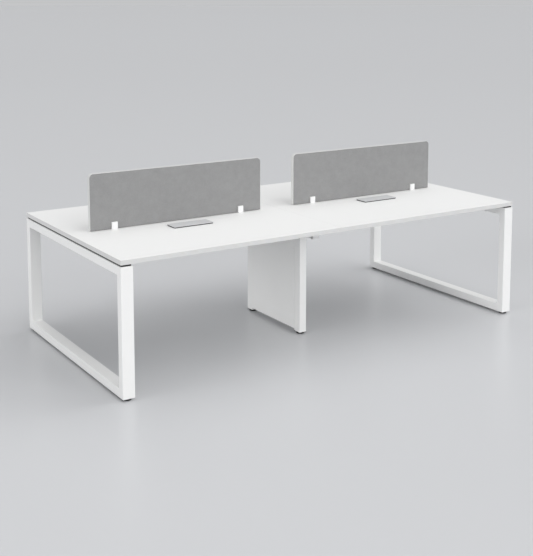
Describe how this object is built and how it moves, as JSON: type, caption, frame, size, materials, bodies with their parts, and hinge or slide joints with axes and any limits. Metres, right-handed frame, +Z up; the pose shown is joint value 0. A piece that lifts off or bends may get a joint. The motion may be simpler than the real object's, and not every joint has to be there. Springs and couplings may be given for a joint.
{
  "type": "benching desk",
  "caption": "Long white face-to-face benching desk on tube loop end frames and a slab centre leg, with grey fabric screens on the centre line and hinged cable lids.",
  "frame": {"origin": "on the floor, below the middle of the desk", "axes": "+Z up, X along the desk, Y across it; the bench is alike from -Y (the picture's front) and +Y"},
  "size_m": [2.8, 1.4, 1.083],
  "materials": {
    "board_laminate": "white melamine-faced board, fine satin texture",
    "edge_strip": "white ABS edge strip, satin",
    "white_steel": "white powder coat, fine texture",
    "black_plastic": "moulded black plastic, matt",
    "cap_plastic": "moulded light grey plastic, matt",
    "foot_plastic": "moulded black plastic pad, matt",
    "zinc_bush": "zinc-plated steel",
    "tub_plastic": "moulded dark grey plastic, matt",
    "lid_grey": "light grey powder coat on aluminium, satin",
    "screen_fabric": "mid grey woven screen fabric",
    "clip_white": "white powder coat, satin"
  },
  "bodies": {
    "desk": {"top_board_left": "board_laminate", "edge_band_left": "edge_strip", "left_frame_top_rail": "white_steel", "left_frame_bottom_rail": "white_steel", "left_frame_front_post": "white_steel", "left_frame_rear_post": "white_steel", "left_spacer_strip": "black_plastic", "top_board_right": "board_laminate", "edge_band_right": "edge_strip", "right_frame_top_rail": "white_steel", "right_frame_bottom_rail": "white_steel", "right_frame_front_post": "white_steel", "right_frame_rear_post": "white_steel", "right_spacer_strip": "black_plastic", "centre_spacer_strip": "black_plastic", "centre_front_post": "white_steel", "crossbar_cap_front": "cap_plastic", "centre_rear_post": "white_steel", "crossbar_cap_rear": "cap_plastic", "centre_cover_left": "white_steel", "centre_cover_right": "white_steel", "centre_crossbar": "white_steel", "centre_stretcher": "white_steel", "foot_bush_left_front": "zinc_bush", "foot_bush_right_front": "zinc_bush", "foot_plug_centre_front": "black_plastic", "foot_bush_left_rear": "zinc_bush", "foot_bush_right_rear": "zinc_bush", "foot_plug_centre_rear": "black_plastic", "beam_left_front": "white_steel", "beam_left_rear": "white_steel", "beam_right_front": "white_steel", "beam_right_rear": "white_steel", "cable_tub_left_front": "tub_plastic", "cable_tub_left_rear": "tub_plastic", "cable_tub_right_front": "tub_plastic", "cable_tub_right_rear": "tub_plastic", "screen_left": "screen_fabric", "screen_clip_left_inner": "clip_white", "screen_clip_left_outer": "clip_white", "screen_right": "screen_fabric", "screen_clip_right_inner": "clip_white", "screen_clip_right_outer": "clip_white"},
    "cable_lid_left_front": {"cable_lid_left_front": "lid_grey"},
    "cable_lid_left_rear": {"cable_lid_left_rear": "lid_grey"},
    "cable_lid_right_front": {"cable_lid_right_front": "lid_grey"},
    "cable_lid_right_rear": {"cable_lid_right_rear": "lid_grey"},
    "foot_left_front": {"foot_left_front": "foot_plastic"},
    "foot_left_rear": {"foot_left_rear": "foot_plastic"},
    "foot_right_front": {"foot_right_front": "foot_plastic"},
    "foot_right_rear": {"foot_right_rear": "foot_plastic"},
    "foot_centre_front": {"foot_centre_front": "foot_plastic"},
    "foot_centre_rear": {"foot_centre_rear": "foot_plastic"}
  },
  "joints": [
    {"name": "lid_hinge_left_front", "type": "hinge", "parent": "desk", "child": "cable_lid_left_front", "pos_m": [-0.7, -0.099, 0.7527], "axis": [-1, 0, 0], "range_deg": [0, 95]},
    {"name": "lid_hinge_left_rear", "type": "hinge", "parent": "desk", "child": "cable_lid_left_rear", "pos_m": [-0.7, 0.099, 0.7527], "axis": [1, 0, 0], "range_deg": [0, 95]},
    {"name": "lid_hinge_right_front", "type": "hinge", "parent": "desk", "child": "cable_lid_right_front", "pos_m": [0.7, -0.099, 0.7527], "axis": [-1, 0, 0], "range_deg": [0, 95]},
    {"name": "lid_hinge_right_rear", "type": "hinge", "parent": "desk", "child": "cable_lid_right_rear", "pos_m": [0.7, 0.099, 0.7527], "axis": [1, 0, 0], "range_deg": [0, 95]},
    {"name": "foot_left_front_screw", "type": "slide", "parent": "desk", "child": "foot_left_front", "axis": [0, 0, -1], "range_m": [0, 0.012]},
    {"name": "foot_left_rear_screw", "type": "slide", "parent": "desk", "child": "foot_left_rear", "axis": [0, 0, -1], "range_m": [0, 0.012]},
    {"name": "foot_right_front_screw", "type": "slide", "parent": "desk", "child": "foot_right_front", "axis": [0, 0, -1], "range_m": [0, 0.012]},
    {"name": "foot_right_rear_screw", "type": "slide", "parent": "desk", "child": "foot_right_rear", "axis": [0, 0, -1], "range_m": [0, 0.012]},
    {"name": "foot_centre_front_screw", "type": "slide", "parent": "desk", "child": "foot_centre_front", "axis": [0, 0, -1], "range_m": [0, 0.012]},
    {"name": "foot_centre_rear_screw", "type": "slide", "parent": "desk", "child": "foot_centre_rear", "axis": [0, 0, -1], "range_m": [0, 0.012]}
  ]
}
